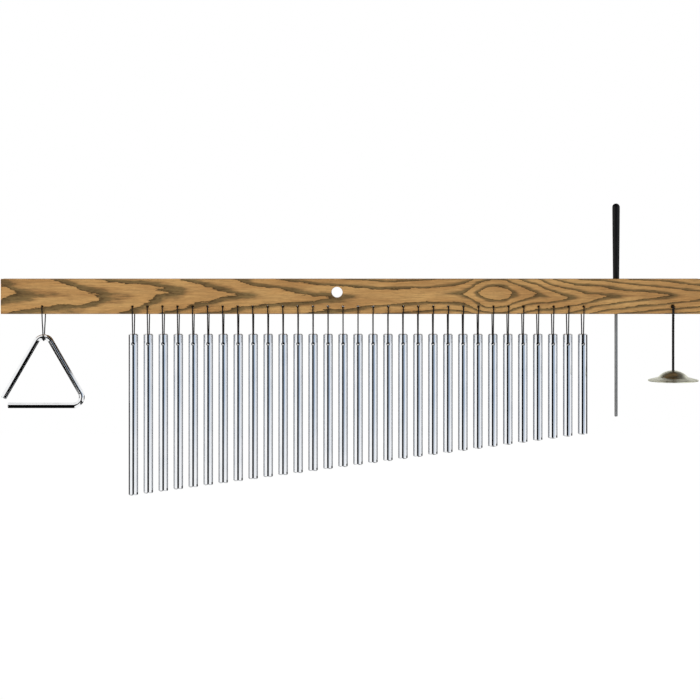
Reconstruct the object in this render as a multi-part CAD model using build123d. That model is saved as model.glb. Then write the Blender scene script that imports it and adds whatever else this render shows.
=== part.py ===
from build123d import *

import math
import os

# Bar chimes: a hardwood mantle that hangs a graded row of metal bars, a triangle and a finger cymbal on cords,
# and holds a beater in a vertical hole.
# Millimetres. The origin is the middle of the stand bore. +X runs along the row towards the short bars,
# -Y faces the player and +Z is up. Distances "from left" start at the mantle's left end.

# Mantle
MANTLE_LENGTH = 698.5
MANTLE_HEIGHT = 35.0
MANTLE_DEPTH = 19.0
MANTLE_EDGE_RADIUS = 0.8
STAND_BORE_DIAMETER = 11.1
STAND_BORE_COUNTERSINK = 0.5
STAND_BORE_FROM_LEFT = 335.4
STAND_BORE_FROM_TOP = 13.4
CORD_HOLE_FROM_BOTTOM = 7.4

# Row of bars
BAR_COUNT = 31
BAR_PITCH = 15.0
FIRST_BAR_FROM_LEFT = 131.4
BAR_DIAMETER = 9.525
LONGEST_BAR = 161.6
SHORTEST_BAR = 100.6
BAR_DROP = 20.0
BAR_END_RADIUS = 1.0
BAR_HOLE_DIAMETER = 2.6
BAR_HOLE_FROM_TOP = 10.0
BAR_HOLE_COUNTERSINK = 0.45

# Thin cord of the bars and the triangle. A wrapped knot's turns are measured in cord diameters.
THIN_CORD_DIAMETER = 1.2
THIN_CORD_INNER_BEND = 0.75
THIN_CORD_HOLE_DIAMETER = 2.2
THIN_CORD_HOLE_COUNTERSINK = 0.5
KNOT_WRAPS = 3
KNOT_WRAP_RADIUS = 0.8
KNOT_WRAP_PITCH = 0.95
KNOT_TAIL_LENGTH = 4.5
KNOT_TAIL_SPREAD = 35.0
KNOT_TAIL_LEAN = 25.0

# Thick cord of the cymbal. A stopper knot's turns are measured in knot radii.
THICK_CORD_DIAMETER = 2.5
THICK_CORD_INNER_BEND = 1.25
THICK_CORD_HOLE_DIAMETER = 3.6
THICK_CORD_HOLE_COUNTERSINK = 0.7
STOPPER_KNOT_DIAMETER = 6.0
STOPPER_TURN_RADIUS = 0.7
STOPPER_TURN_THICKNESS = 0.36
STOPPER_TURN_LEVEL = 0.28
STOPPER_TAIL_LENGTH = 2.0

# Fits of every cord
CORD_FACE_GAP = 0.25
CORD_SEAT_GAP = 0.15
KNOT_SEAT_GAP = 0.3

# Triangle
TRIANGLE_FROM_LEFT = 41.5
TRIANGLE_DROP = 20.3
TRIANGLE_SIDE = 89.0
TRIANGLE_ROD_DIAMETER = 5.8
TRIANGLE_BEND_RADIUS = 8.5
TRIANGLE_LEG_SHORTENED = 8.5
TRIANGLE_BASE_SHORTENED = 8.7
TRIANGLE_END_RADIUS = 0.5

# Finger cymbal
CYMBAL_FROM_LEFT = 670.2
CYMBAL_DROP = 56.0
CYMBAL_DIAMETER = 50.0
CYMBAL_THICKNESS = 1.6
CYMBAL_DOME_DIAMETER = 30.0
CYMBAL_DOME_RISE = 6.8
CYMBAL_FLANGE_FALL = 2.4
CYMBAL_SHOULDER_RADIUS = 2.0
CYMBAL_HOLE_DIAMETER = 4.2

# Beater
BEATER_FROM_LEFT = 614.9
BEATER_ROD_DIAMETER = 3.175
BEATER_ROD_REACH = 138.0
BEATER_ROD_IN_GRIP = 60.0
BEATER_TIP_RADIUS = 0.8
BEATER_HOLE_DIAMETER = 4.0
BEATER_HOLE_COUNTERSINK = 0.4
GRIP_LENGTH = 75.4
GRIP_TOP_DIAMETER = 7.6
GRIP_BOTTOM_DIAMETER = 6.3
GRIP_BOTTOM_RADIUS = 0.4
GRIP_BORE_CLEARANCE = 0.05

# Places that follow from the sizes
MANTLE_TOP = STAND_BORE_FROM_TOP
MANTLE_BOTTOM = MANTLE_TOP - MANTLE_HEIGHT
MANTLE_LEFT = -STAND_BORE_FROM_LEFT
CORD_HOLE_Z = MANTLE_BOTTOM + CORD_HOLE_FROM_BOTTOM
TRIANGLE_X = MANTLE_LEFT + TRIANGLE_FROM_LEFT
CYMBAL_X = MANTLE_LEFT + CYMBAL_FROM_LEFT
CYMBAL_Y = -(MANTLE_DEPTH / 2 + CORD_FACE_GAP + THICK_CORD_DIAMETER / 2)
CYMBAL_TOP = MANTLE_BOTTOM - CYMBAL_DROP
BEATER_X = MANTLE_LEFT + BEATER_FROM_LEFT
TRIANGLE_APEX_Z = MANTLE_BOTTOM - TRIANGLE_DROP - TRIANGLE_ROD_DIAMETER / 2


def bar_x(index):
    """Place along the row of a bar, counted from 0 at the long end."""
    return MANTLE_LEFT + FIRST_BAR_FROM_LEFT + index * BAR_PITCH


def bar_length(index):
    """Length of a bar: the row shortens by an even step."""
    return LONGEST_BAR + (SHORTEST_BAR - LONGEST_BAR) * index / (BAR_COUNT - 1)


def through_drill(diameter, length, countersink):
    """Cutter along Z, middle at the origin, for a hole with both of its mouths countersunk at 45 degrees."""
    radius = diameter / 2
    cutter = Cylinder(radius, length + 2 * countersink)
    mouth = Pos(0, 0, length / 2) * Cone(radius, radius + 2 * countersink, 2 * countersink)
    return cutter + mouth + mirror(mouth, about=Plane.XY)


# Mantle

def mantle():
    """The hardwood bar, with a front-to-back hole for each cord, the stand bore and the beater's hole."""
    blank = Pos(MANTLE_LEFT, 0, MANTLE_BOTTOM) * Box(
        MANTLE_LENGTH, MANTLE_DEPTH, MANTLE_HEIGHT, align=(Align.MIN, Align.CENTER, Align.MIN)
    )
    blank = fillet(blank.edges(), MANTLE_EDGE_RADIUS)
    front_to_back = Rot(X=90)
    thin_drill = front_to_back * through_drill(
        THIN_CORD_HOLE_DIAMETER, MANTLE_DEPTH, THIN_CORD_HOLE_COUNTERSINK
    )
    thick_drill = front_to_back * through_drill(
        THICK_CORD_HOLE_DIAMETER, MANTLE_DEPTH, THICK_CORD_HOLE_COUNTERSINK
    )
    stand_drill = front_to_back * through_drill(STAND_BORE_DIAMETER, MANTLE_DEPTH, STAND_BORE_COUNTERSINK)
    beater_drill = through_drill(BEATER_HOLE_DIAMETER, MANTLE_HEIGHT, BEATER_HOLE_COUNTERSINK)
    thin_holes = [bar_x(i) for i in range(BAR_COUNT)] + [TRIANGLE_X]
    cutters = [Pos(x, 0, CORD_HOLE_Z) * thin_drill for x in thin_holes]
    cutters.append(Pos(CYMBAL_X, 0, CORD_HOLE_Z) * thick_drill)
    cutters.append(stand_drill)
    cutters.append(Pos(BEATER_X, 0, MANTLE_TOP - MANTLE_HEIGHT / 2) * beater_drill)
    return blank - cutters


# Bars

def chime_bar(index):
    """A solid round bar with eased ends and a countersunk cross hole that rides on its cord."""
    length = bar_length(index)
    top = MANTLE_BOTTOM - BAR_DROP
    bar = Cylinder(BAR_DIAMETER / 2, length, align=(Align.CENTER, Align.CENTER, Align.MAX))
    bar = fillet(bar.edges().filter_by(GeomType.CIRCLE), BAR_END_RADIUS)
    drill = Rot(X=90) * through_drill(BAR_HOLE_DIAMETER, BAR_DIAMETER, BAR_HOLE_COUNTERSINK)
    bar -= Pos(0, 0, -BAR_HOLE_FROM_TOP) * drill
    return Pos(bar_x(index), 0, top) * bar


# Cords

def belt(start, rounds, end):
    """Edges of a taut cord that runs over rounds, clockwise, and touches each on its outer side.

    A point is (out, z), where out is the distance from the mantle's middle plane. A round is (out, z, radius).
    The cord comes in level at the top of the first round and leaves level at the bottom of the last.
    """
    angles = [math.pi / 2]
    for (u0, z0, r0), (u1, z1, r1) in zip(rounds, rounds[1:]):
        heading = math.atan2(z1 - z0, u1 - u0)
        angles.append(heading + math.acos((r0 - r1) / math.hypot(u1 - u0, z1 - z0)))
    angles.append(-math.pi / 2)
    edges, at = [], start
    for (u, z, r), first, last in zip(rounds, angles, angles[1:]):
        on_round = [(u + r * math.cos(a), z + r * math.sin(a)) for a in (first, (first + last) / 2, last)]
        if math.dist(at, on_round[0]) > 1e-6:
            edges.append((at, on_round[0]))
        if first - last > 1e-6:
            edges.append(tuple(on_round))
        at = on_round[2]
    if math.dist(at, end) > 1e-6:
        edges.append((at, end))
    return edges


def cord_wire(edges, side):
    """Wire of belt edges in the plane across the mantle: side is -1 in front and +1 behind."""
    placed = [[Vector(0, side * u, z) for u, z in edge] for edge in edges]
    return [Line(*edge) if len(edge) == 2 else ThreePointArc(*edge) for edge in placed]


def round_tube(path, diameter):
    """A round tube along a chain of edges."""
    wire = Wire(path)
    section = Plane(origin=wire @ 0, z_dir=wire % 0) * Circle(diameter / 2)
    tube = sweep(section, path=wire)
    radii = [round(edge.radius, 2) for edge in wire.edges().filter_by(GeomType.CIRCLE)]
    print(f"cord of {diameter} mm: length {wire.length:.2f}, arc radii {radii}, "
          f"volume {tube.volume:.2f}, section times length {section.area * wire.length:.2f}")
    return tube


def wrapped_knot(diameter, top):
    """A knot of close wraps round an upright cord at the origin, with its two cut tails, below a given height."""
    wrap_radius = KNOT_WRAP_RADIUS * diameter
    wrap_pitch = KNOT_WRAP_PITCH * diameter
    knot_height = knot_length(diameter)
    knot = Pos(0, 0, top - knot_height / 2) * Cylinder(wrap_radius, knot_height - diameter)
    for wrap in range(KNOT_WRAPS):
        knot += Pos(0, 0, top - diameter / 2 - wrap * wrap_pitch) * Torus(wrap_radius, diameter / 2)
    tail = Cylinder(diameter / 2, KNOT_TAIL_LENGTH, align=(Align.CENTER, Align.CENTER, Align.MAX))
    for spread in (-KNOT_TAIL_SPREAD, KNOT_TAIL_SPREAD):
        knot += Pos(0, wrap_radius, top - knot_height / 2) * Rot(X=KNOT_TAIL_LEAN, Y=spread) * tail
    return knot


def knot_length(diameter):
    """Height of a wrapped knot."""
    return (1 + (KNOT_WRAPS - 1) * KNOT_WRAP_PITCH) * diameter


def knot_radius(diameter):
    """Outer radius of a wrapped knot."""
    return (KNOT_WRAP_RADIUS + 0.5) * diameter


def hanging_loop(low_round):
    """A loop of thin cord through a mantle hole and round what it carries, knotted on the mantle's back face.

    Args:
        low_round: (out, z, radius) of the round that the cord goes under at its lower end.
    """
    cord = THIN_CORD_DIAMETER
    bend = THIN_CORD_INNER_BEND + cord / 2
    hole_line = CORD_HOLE_Z - (THIN_CORD_HOLE_DIAMETER - cord) / 2 + CORD_SEAT_GAP
    face = MANTLE_DEPTH / 2
    front_reach = face + CORD_FACE_GAP + cord / 2
    back_reach = face + CORD_FACE_GAP + knot_radius(cord)
    knot_top = hole_line - bend
    knot_bottom = knot_top - knot_length(cord)
    knot_middle = (knot_top + knot_bottom) / 2
    mouth = (front_reach - bend, hole_line - bend, bend)
    lower_edge = (face - MANTLE_EDGE_RADIUS, MANTLE_BOTTOM + MANTLE_EDGE_RADIUS,
                  MANTLE_EDGE_RADIUS + CORD_FACE_GAP + cord / 2)
    back_mouth = (back_reach - bend, hole_line - bend, bend)
    knot_foot = (back_reach - bend, knot_bottom, bend)
    low_end = (0, low_round[1] - low_round[2])
    front = cord_wire(belt((0, hole_line), [mouth, lower_edge, low_round], low_end), -1)
    back = cord_wire(belt((0, hole_line), [back_mouth, knot_foot, low_round], low_end), 1)
    loop = round_tube(front, cord) + round_tube(back, cord)
    return loop + Pos(0, back_reach, 0) * wrapped_knot(cord, knot_top)


def bar_cord_nodes():
    """The loop of every bar: the two end bars swing furthest and have a node each, the others share one."""
    cord = THIN_CORD_DIAMETER
    bend = THIN_CORD_INNER_BEND + cord / 2
    hole_axis = MANTLE_BOTTOM - BAR_DROP - BAR_HOLE_FROM_TOP
    seat = hole_axis + (BAR_HOLE_DIAMETER - cord) / 2 - CORD_SEAT_GAP
    loop = hanging_loop((BAR_DIAMETER / 2 - BAR_HOLE_COUNTERSINK / 3, seat + bend, bend))
    loops = [Pos(bar_x(i), 0, 0) * loop for i in range(BAR_COUNT)]
    return {
        "first_bar_cord": loops[0],
        "inner_bar_cords": Compound(children=loops[1:-1]),
        "last_bar_cord": loops[-1],
    }


def triangle_cord():
    """The loop under the apex of the triangle."""
    hold = (TRIANGLE_ROD_DIAMETER + THIN_CORD_DIAMETER) / 2 + CORD_SEAT_GAP
    return Pos(TRIANGLE_X, 0, 0) * hanging_loop((0, TRIANGLE_APEX_Z, hold))


def stopper_knot():
    """A round stopper knot about the origin, its two outer turns standing proud round Z."""
    radius = STOPPER_KNOT_DIAMETER / 2
    turn = Torus(STOPPER_TURN_RADIUS * radius, STOPPER_TURN_THICKNESS * radius)
    level = STOPPER_TURN_LEVEL * radius
    return Sphere(radius) + Pos(0, 0, level) * turn + Pos(0, 0, -level) * turn


def knot_seat_depth(mouth_radius):
    """Distance from a round mouth to the middle of the stopper knot that is drawn up against it."""
    return math.sqrt((STOPPER_KNOT_DIAMETER / 2 + KNOT_SEAT_GAP) ** 2 - mouth_radius ** 2)


def cymbal_cord():
    """One strand: a stopper knot behind the mantle, out through the front, down its face and through the cup."""
    cord = THICK_CORD_DIAMETER
    bend = THICK_CORD_INNER_BEND + cord / 2
    slack = (THICK_CORD_HOLE_DIAMETER - cord) / 2 - CORD_SEAT_GAP
    hole_line = CORD_HOLE_Z - slack
    reach = -CYMBAL_Y
    past_knot = STOPPER_KNOT_DIAMETER / 2 + STOPPER_TAIL_LENGTH
    cup_mouth = CYMBAL_TOP + dome_height(CYMBAL_HOLE_DIAMETER / 2, CYMBAL_THICKNESS)
    cup_knot = cup_mouth - knot_seat_depth(CYMBAL_HOLE_DIAMETER / 2)
    back_mouth_radius = THICK_CORD_HOLE_DIAMETER / 2 + THICK_CORD_HOLE_COUNTERSINK - slack
    back_knot = MANTLE_DEPTH / 2 + knot_seat_depth(back_mouth_radius)
    corner = bend * math.sqrt(0.5)
    turn = ThreePointArc(
        (0, -(reach - bend), hole_line),
        (0, -(reach - bend + corner), hole_line - bend + corner),
        (0, -reach, hole_line - bend),
    )
    level_run = Line((0, back_knot + past_knot, hole_line), turn @ 0)
    hanging_run = Line(turn @ 1, (0, -reach, cup_knot - past_knot))
    strand = round_tube([level_run, turn, hanging_run], cord)
    strand += Pos(0, -reach, cup_knot) * stopper_knot()
    strand += Pos(0, back_knot, hole_line) * Rot(X=90) * stopper_knot()
    return Pos(CYMBAL_X, 0, 0) * strand


# Triangle

def triangle():
    """One round rod bent to an equilateral triangle, open at its lower left corner."""
    half = TRIANGLE_SIDE / 2
    height = half * math.tan(math.radians(60))
    apex = TRIANGLE_APEX_Z + TRIANGLE_BEND_RADIUS / math.sin(math.radians(30)) - TRIANGLE_BEND_RADIUS
    base = apex - height
    left = Vector(-half, 0, base)
    top = Vector(0, 0, apex)
    right = Vector(half, 0, base)
    leg_end = left + (top - left).normalized() * TRIANGLE_LEG_SHORTENED
    base_end = left + (right - left).normalized() * TRIANGLE_BASE_SHORTENED
    path = FilletPolyline(leg_end, top, right, base_end, radius=TRIANGLE_BEND_RADIUS)
    section = Plane(origin=path @ 0, z_dir=path % 0) * Circle(TRIANGLE_ROD_DIAMETER / 2)
    rod = sweep(section, path=path)
    ends = [edge for edge in rod.edges().filter_by(GeomType.CIRCLE)
            if min((edge.arc_center - leg_end).length, (edge.arc_center - base_end).length) < 1e-3]
    return Pos(TRIANGLE_X, 0, 0) * fillet(ends, TRIANGLE_END_RADIUS)


# Finger cymbal

def dome_radius():
    """Radius of the sphere that the cymbal's dome is part of."""
    half = CYMBAL_DOME_DIAMETER / 2
    return (half ** 2 + CYMBAL_DOME_RISE ** 2) / (2 * CYMBAL_DOME_RISE)


def dome_height(radius, depth):
    """Height, from the dome's top, of a dome surface that lies a given depth under the outer one."""
    return math.sqrt((dome_radius() - depth) ** 2 - radius ** 2) - dome_radius()


def finger_cymbal():
    """A cast cup: a spherical dome, a shoulder and a falling flange, with a centre hole for the cord."""
    wall = CYMBAL_THICKNESS
    rim = CYMBAL_DIAMETER / 2 - wall / 2
    rim_z = -CYMBAL_DOME_RISE - CYMBAL_FLANGE_FALL
    hole = CYMBAL_HOLE_DIAMETER / 2

    def dome_arc(start, end, depth):
        """Arc of a dome surface between two radii."""
        return ThreePointArc(*[(r, dome_height(r, depth)) for r in (start, (start + end) / 2, end)])

    outer_arc = dome_arc(hole, CYMBAL_DOME_DIAMETER / 2, 0)
    inner_arc = dome_arc((CYMBAL_DOME_DIAMETER - wall) / 2, hole, wall)
    flange_top = Line(outer_arc @ 1, (rim, rim_z))
    edge = ThreePointArc(flange_top @ 1, (rim + wall / 2, rim_z - wall / 2), (rim, rim_z - wall))
    flange_under = Line(edge @ 1, inner_arc @ 0)
    bore = Line(inner_arc @ 1, outer_arc @ 0)
    profile = make_face([outer_arc, flange_top, edge, flange_under, inner_arc, bore])
    shoulders = profile.vertices().filter_by(
        lambda v: min((v.center() - outer_arc @ 1).length, (v.center() - inner_arc @ 0).length) < 1e-6
    )
    profile = fillet(shoulders, CYMBAL_SHOULDER_RADIUS)
    cup = revolve(Plane.XZ * profile, Axis.Z)
    return Pos(CYMBAL_X, CYMBAL_Y, CYMBAL_TOP) * cup


# Beater

def beater_rod():
    """A straight steel rod with an eased tip, from inside the grip down through the mantle."""
    length = BEATER_ROD_REACH + BEATER_ROD_IN_GRIP
    rod = Cylinder(BEATER_ROD_DIAMETER / 2, length, align=(Align.CENTER, Align.CENTER, Align.MIN))
    rod = fillet(rod.edges().sort_by(Axis.Z)[:1], BEATER_TIP_RADIUS)
    return Pos(BEATER_X, 0, MANTLE_TOP - BEATER_ROD_REACH) * rod


def beater_grip():
    """A tapered sleeve with a round top, closed over the rod, that rests on the mantle."""
    top = GRIP_TOP_DIAMETER / 2
    bottom = GRIP_BOTTOM_DIAMETER / 2
    crown = GRIP_LENGTH - top
    side = Line((bottom, 0), (top, crown))
    crown_mid = (top * math.sqrt(0.5), crown + top * math.sqrt(0.5))
    dome = ThreePointArc((top, crown), crown_mid, (0, GRIP_LENGTH))
    profile = make_face([Line((0, 0), (bottom, 0)), side, dome, Line((0, GRIP_LENGTH), (0, 0))])
    grip = revolve(Plane.XZ * profile, Axis.Z)
    foot = grip.edges().filter_by(GeomType.CIRCLE).sort_by(Axis.Z)[:1]
    grip = fillet(foot, GRIP_BOTTOM_RADIUS)
    bore_radius = BEATER_ROD_DIAMETER / 2 + GRIP_BORE_CLEARANCE
    grip -= Cylinder(bore_radius, BEATER_ROD_IN_GRIP + GRIP_BORE_CLEARANCE,
                     align=(Align.CENTER, Align.CENTER, Align.MIN))
    return Pos(BEATER_X, 0, MANTLE_TOP) * grip


def main():
    """Writes one STEP file for each node."""
    nodes = {
        "mantle": mantle(),
        "triangle": triangle(),
        "triangle_cord": triangle_cord(),
        "finger_cymbal": finger_cymbal(),
        "cymbal_cord": cymbal_cord(),
        "beater_rod": beater_rod(),
        "beater_grip": beater_grip(),
    }
    nodes.update(bar_cord_nodes())
    for index in range(BAR_COUNT):
        nodes[f"chime_bar_{index + 1:02d}"] = chime_bar(index)
    os.makedirs("parts", exist_ok=True)
    for name, shape in nodes.items():
        export_step(shape, f"parts/{name}.step")


main()
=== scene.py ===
"""Bar chimes: the finish of every surface, the cords and a plain studio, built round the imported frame.

The frame's origin is the middle of the stand bore, +X runs to the short bars, -Y to the player and +Z up.
Sizes are in millimetres and become metres where a mesh is made.
"""

import logging
import math
import random
from dataclasses import dataclass
from enum import Enum
from typing import Any, ClassVar, Sequence

import bpy
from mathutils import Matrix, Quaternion, Vector


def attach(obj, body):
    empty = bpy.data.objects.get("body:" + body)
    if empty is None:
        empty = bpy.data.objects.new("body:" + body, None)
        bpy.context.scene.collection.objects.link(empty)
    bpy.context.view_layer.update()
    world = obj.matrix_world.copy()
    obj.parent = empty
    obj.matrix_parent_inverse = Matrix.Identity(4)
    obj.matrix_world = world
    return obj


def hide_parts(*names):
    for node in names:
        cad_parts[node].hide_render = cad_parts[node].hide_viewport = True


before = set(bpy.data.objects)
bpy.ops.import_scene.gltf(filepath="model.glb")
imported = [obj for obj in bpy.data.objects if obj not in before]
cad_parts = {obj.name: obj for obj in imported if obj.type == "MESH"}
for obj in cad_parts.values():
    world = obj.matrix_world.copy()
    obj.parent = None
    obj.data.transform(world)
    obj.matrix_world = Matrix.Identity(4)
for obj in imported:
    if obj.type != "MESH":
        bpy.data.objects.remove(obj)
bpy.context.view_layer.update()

LOG = logging.getLogger("bar_chimes")
MM = 0.001
WHITE = "#FFFFFF"

# The thin cord of the bars and the triangle in mm, the map that runs along a cord, and the seed of the draws
# that turn the tails of the knots.
THIN_CORD = 1.2
CORD_MAP = "along_cord"
KNOT_SEED = 31

# The row of bars: their count, the longest one's place along the mantle and the distance between two, in mm.
BAR_COUNT = 31
FIRST_BAR = -204.0
BAR_PITCH = 15.0

Point = tuple[float, float, float]
Outline = tuple[tuple[float, float], ...]


def linear(hex_colour: str) -> tuple[float, float, float, float]:
    """Turn an sRGB hex value into linear RGBA.

    Args:
        hex_colour: Colour such as "#BB9057".

    Returns:
        Linear red, green, blue and an alpha of 1.
    """
    shares = [int(hex_colour[i:i + 2], 16) / 255 for i in (1, 3, 5)]
    red, green, blue = (s / 12.92 if s <= 0.04045 else ((s + 0.055) / 1.055) ** 2.4 for s in shares)
    return red, green, blue, 1.0


def fill(tree: bpy.types.NodeTree, node: bpy.types.Node, sockets: dict[Any, Any]) -> None:
    """Give the inputs of a node their values, or link them to what feeds them.

    Args:
        tree: Node tree that holds the node.
        node: The node.
        sockets: Input names or numbers, each with a value or with the output that feeds it.
    """
    for key, value in sockets.items():
        if isinstance(value, bpy.types.NodeSocket):
            tree.links.new(value, node.inputs[key])
        else:
            node.inputs[key].default_value = value


def add_node(tree: bpy.types.NodeTree, kind: str, sockets: dict[Any, Any] | None = None,
             **settings: Any) -> bpy.types.Node:
    """Add one shader node, set its properties and fill its sockets.

    Args:
        tree: Node tree that takes the node.
        kind: Node type without its ShaderNode prefix, such as "Math".
        sockets: Input names or numbers, each with a value or with the output that feeds it.
        settings: Properties of the node; stops fill a colour ramp and points a curve.

    Returns:
        The new node.
    """
    node = tree.nodes.new("ShaderNode" + kind)
    for place, colour in enumerate(settings.pop("stops", ())):
        elements = node.color_ramp.elements
        element = elements[place] if place < len(elements) else elements.new(1.0)
        element.position, element.color = colour[0], linear(colour[1])
    points = settings.pop("points", ())
    if points:
        curve = node.mapping.curves[0]
        curve.points[0].location, curve.points[-1].location = points[0], points[-1]
        for point in points[1:-1]:
            curve.points.new(*point)
        node.mapping.update()
    for name, value in settings.items():
        setattr(node, name, value)
    fill(tree, node, sockets or {})
    return node


def new_surface(name: str) -> tuple[bpy.types.Material, bpy.types.NodeTree, bpy.types.Node]:
    """Start a material that holds one principled shader.

    Args:
        name: The material's name.

    Returns:
        The material, its node tree and the shader.
    """
    material = bpy.data.materials.new(name)
    material.use_nodes = True
    return material, material.node_tree, material.node_tree.nodes["Principled BSDF"]


def place_in_mm(tree: bpy.types.NodeTree) -> bpy.types.NodeSocket:
    """Give the place on the object in millimetres of the frame, as a vector socket."""
    place = add_node(tree, "TexCoord")
    return add_node(tree, "VectorMath", {0: place.outputs["Object"], "Scale": 1 / MM},
                    operation="SCALE").outputs[0]


def grain(tree: bpy.types.NodeTree, place: bpy.types.NodeSocket, size: Point, detail: float = 2.0,
          seed: float = 0.0) -> bpy.types.NodeSocket:
    """Give a soft random pattern whose patches have a real size.

    Args:
        tree: Node tree to build in.
        place: Place in millimetres.
        size: Length of a patch along X, Y and Z in millimetres.
        detail: Octaves of finer pattern.
        seed: Shift that makes one pattern differ from another.

    Returns:
        Socket of values about 0.5.
    """
    spread = add_node(tree, "VectorMath", {0: place, 1: size}, operation="DIVIDE")
    moved = add_node(tree, "VectorMath", {0: spread.outputs[0], 1: (seed, seed, seed)}, operation="ADD")
    return add_node(tree, "TexNoise", {"Vector": moved.outputs[0], "Scale": 1.0, "Detail": detail,
                                       "Roughness": 0.55}).outputs["Fac"]


@dataclass(frozen=True)
class FlatSawnAsh:
    """Ash board, flat-sawn, planed and rubbed with oil.

    The eye gets honey latewood, olive-brown earlywood with one sharp edge to each ring, long arches where
    the rings run out of the face, one closed oval, and short dark pores along the fibre. Sizes are in
    millimetres.

    Attributes:
        name: Common name of the wood and how its surface was made.
        left: Place of the board's left end.
        length: Length of the board.
        middle: Height of the board's middle.
        half_height: Half of the board's height.
        half_depth: Half of the board's depth.
        ridge_low: Lowest height that the ridge of the arches may have.
        ridge_high: Highest height that it may have.
        ridge_scale: Rings that a ridge value of 1 stands for.
        arch_power: How the arches' flanks curve: 1 is straight.
        steep_left: Rings that an arch's flank crosses over half of the board's height, at the left.
        steep_right: The same at the right end.
        steep_start: Share along the board where the flanks start to grow steeper.
        rings_through: Rings from the front face to the back.
        pattern_mean: What the wavy and ragged patterns add together on average, in rings.
        wave_rings: How far the slow wave shifts the rings.
        ragged_rings: How far the ragged fibre shifts them.
        fade: Share of a ring where the earlywood ends.
        wave_size: Size of a slow wave along, through and up the board.
        ragged_size: Size of a ragged tooth at a ring's edge.
        fibre_size: Size of a streak of fibre, drawn coarse enough to show.
        cloud_size: Size of a warmer cloud of colour.
        pore_size: Size of an open pore, drawn coarse enough to show.
        edge_stretch_size: Size of a darker stretch of the edges.
        cloud_tone: Colour that the warmer clouds are stained with.
        pore_tone: Colour in an open pore.
        edge_tone: Colour of the darker edges.
    """

    name: str = "oiled_flat_sawn_ash"
    left: float = -335.4
    length: float = 698.5
    middle: float = -4.1
    half_height: float = 17.5
    half_depth: float = 9.5
    ridge_low: float = -8.0
    ridge_high: float = 2.0
    ridge_scale: float = 10.0
    arch_power: float = 1.3
    steep_left: float = 0.9
    steep_right: float = 3.0
    steep_start: float = 0.2
    rings_through: float = 3.8
    pattern_mean: float = 0.6
    wave_rings: float = 0.9
    ragged_rings: float = 0.30
    fade: float = 0.36
    wave_size: Point = (48.0, 9.0, 9.0)
    ragged_size: Point = (7.0, 0.9, 0.9)
    fibre_size: Point = (16.0, 0.7, 0.7)
    cloud_size: Point = (70.0, 14.0, 11.0)
    pore_size: Point = (5.0, 0.9, 0.9)
    edge_stretch_size: Point = (30.0, 6.0, 6.0)
    cloud_tone: str = "#B0854C"
    pore_tone: str = "#4E381A"
    edge_tone: str = "#6E5027"

    # Share along the board from its left end, and the ring that shows on the ridge of the arches, in tenths.
    ridge_rings: ClassVar[Outline] = (
        (0.0, 0.93), (0.03, 0.90), (0.143, 0.80), (0.242, 0.70), (0.325, 0.60), (0.47, 0.50), (0.585, 0.45),
        (0.659, 0.50), (0.683, 0.60), (0.709, 0.66), (0.731, 0.60), (0.763, 0.50), (0.809, 0.40),
        (0.862, 0.30), (1.0, 0.15))
    # Share along the board, and the height of the ridge between its lowest, 0, and its highest, 1.
    ridge_heights: ClassVar[Outline] = (
        (0.0, 0.80), (0.03, 0.84), (0.143, 0.24), (0.242, 0.74), (0.325, 0.64), (0.47, 0.24), (0.585, 0.44),
        (0.709, 0.74), (0.763, 0.64), (0.809, 0.24), (0.862, 0.44), (1.0, 0.50))

    def material(self) -> bpy.types.Material:
        """Build the wood: a field of year rings through the board, then fibre, pores and darker edges.

        Returns:
            The new material.
        """
        material, tree, shader = new_surface(self.name)
        place = place_in_mm(tree)
        rings = self.ring_field(tree, place)
        phase = add_node(tree, "Math", {0: rings}, operation="FRACT").outputs[0]
        tone = add_node(tree, "ValToRGB", {"Fac": phase}, stops=(
            (0.0, "#4A3A1A"), (0.04, "#5E4A26"), (0.10, "#786139"), (0.24, "#7F673D"),
            (self.fade, "#AC8450"), (0.48, "#C0965C"), (1.0, "#BD9157"))).outputs["Color"]
        fibre = grain(tree, place, self.fibre_size, 3.0, 4.0)
        cloud = grain(tree, place, self.cloud_size, 2.0, 9.0)
        warm = add_node(tree, "MapRange", {"Value": cloud, 1: 0.35, 2: 0.65, 3: 0.0, 4: 0.35}).outputs[0]
        tone = add_node(tree, "Mix", {0: warm, 6: tone, 7: linear(self.cloud_tone)}, data_type="RGBA",
                        blend_type="MULTIPLY").outputs[2]
        lift = add_node(tree, "MapRange", {"Value": fibre, 1: 0.3, 2: 0.7, 3: 0.80, 4: 1.18}).outputs[0]
        tone = add_node(tree, "VectorMath", {0: tone, "Scale": lift}, operation="SCALE").outputs[0]
        pores = self.pores(tree, place, phase)
        # The long edges are painted darker, about 1 mm wide, in uneven stretches.
        dark_edge_and_sheen = self.edge(tree, place)
        for share, colour in ((pores, self.pore_tone), (dark_edge_and_sheen, self.edge_tone)):
            tone = add_node(tree, "Mix", {0: share, 6: tone, 7: linear(colour)}, data_type="RGBA").outputs[2]
        rough = add_node(tree, "MapRange", {"Value": fibre, 1: 0.3, 2: 0.7, 3: 0.42, 4: 0.60}).outputs[0]
        depth = add_node(tree, "Math", {0: fibre, 1: pores}, operation="SUBTRACT").outputs[0]
        relief = add_node(tree, "Bump", {"Height": depth, "Strength": 0.35, "Distance": 0.12 * MM})
        fill(tree, shader, {"Base Color": tone, "Roughness": rough, "Normal": relief.outputs[0], "IOR": 1.46,
                            "Specular IOR Level": 0.35})
        return material

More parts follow.
